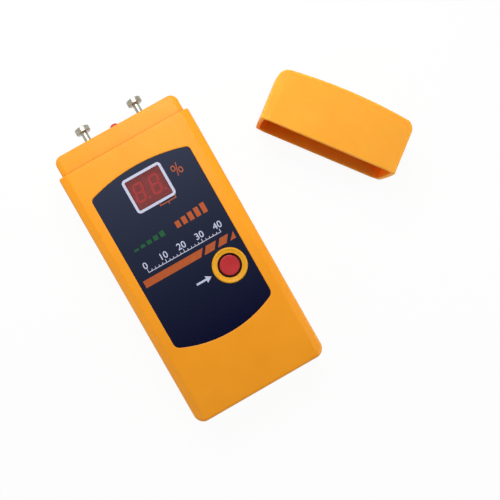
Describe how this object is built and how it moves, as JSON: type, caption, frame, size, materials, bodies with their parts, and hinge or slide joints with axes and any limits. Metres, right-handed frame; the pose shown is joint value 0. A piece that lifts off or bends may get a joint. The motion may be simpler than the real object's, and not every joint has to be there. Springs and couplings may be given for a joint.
{
  "type": "pin moisture meter",
  "caption": "Handheld pin moisture meter for paper and board: flat plastic case with a digital display, test button, end contact electrodes and a pull-off cap.",
  "frame": {"origin": "centre of the meter's flat back, on the surface it lies on", "axes": "+X across the meter, +Y along it towards the electrodes, +Z out of its front face"},
  "size_m": [0.1486, 0.1417, 0.0255],
  "materials": {
    "orange_plastic": "satin moulded ABS, fine spark texture",
    "label_film": "printed polycarbonate film, navy",
    "red_filter": "clear red acrylic filter",
    "red_plastic": "moulded, polished",
    "black_plastic": "moulded",
    "nickel": "turned and nickel plated",
    "plated_steel": "zinc plated",
    "board_laminate": "glass-epoxy laminate with green solder mask",
    "display_black": "light-emitting display body with dark face",
    "display_red": "cast red diffuser bars",
    "chip_black": "moulded epoxy",
    "trimmer_blue": "moulded",
    "trimmer_white": "moulded",
    "capacitor_sleeve": "shrink sleeve",
    "resistor_coat": "lacquered",
    "battery_jacket": "printed jacket, plain",
    "wire_red": "flexible insulation",
    "wire_black": "flexible insulation",
    "foam": "soft foam"
  },
  "bodies": {
    "housing": {"front_shell": "orange_plastic", "back_shell": "orange_plastic", "front_label": "label_film", "display_window": "red_filter", "test_switch_body": "black_plastic", "check_switch_body": "black_plastic", "battery_connector": "black_plastic", "electrode_left": "nickel", "electrode_right": "nickel", "electrode_nuts": "plated_steel", "solder_tags": "plated_steel", "battery_terminals": "plated_steel", "case_screws": "plated_steel", "board_screws": "plated_steel", "circuit_board": "board_laminate", "display_module": "display_black", "display_segments": "display_red", "control_chip": "chip_black", "amplifier_chip": "chip_black", "regulator": "chip_black", "trimmer_body": "trimmer_blue", "capacitors": "capacitor_sleeve", "resistors": "resistor_coat", "battery_case": "battery_jacket", "battery_lead_red": "wire_red", "electrode_lead_left": "wire_red", "battery_lead_black": "wire_black", "electrode_lead_right": "wire_black"},
    "test_button_body": {"test_button": "red_plastic", "test_switch_plunger": "black_plastic"},
    "check_button_body": {"check_button": "red_plastic", "check_switch_plunger": "black_plastic"},
    "trimmer": {"trimmer_rotor": "trimmer_white"},
    "battery_door_body": {"battery_door": "orange_plastic", "battery_pad": "foam"},
    "cap": {"protective_cap": "orange_plastic"}
  },
  "joints": [
    {"name": "test_button_press", "type": "slide", "parent": "housing", "child": "test_button_body", "axis": [0, 0, -1], "range_m": [0, 0.00035], "stiffness_N_per_m": 3000},
    {"name": "check_button_press", "type": "slide", "parent": "housing", "child": "check_button_body", "axis": [0, -1, 0], "range_m": [0, 0.0004], "stiffness_N_per_m": 2500},
    {"name": "trimmer_turn", "type": "hinge", "parent": "housing", "child": "trimmer", "pos_m": [0.0158, 0.033, 0.0185], "axis": [0, 0, 1], "range_deg": [-130, 130]},
    {"name": "battery_door_slide", "type": "slide", "parent": "housing", "child": "battery_door_body", "axis": [0, -1, 0], "range_m": [0, 0.031]},
    {"name": "cap_pull", "type": "slide", "parent": "housing", "child": "cap", "axis": [0.788, 0.6157, 0], "range_m": [0, 0.02]}
  ]
}
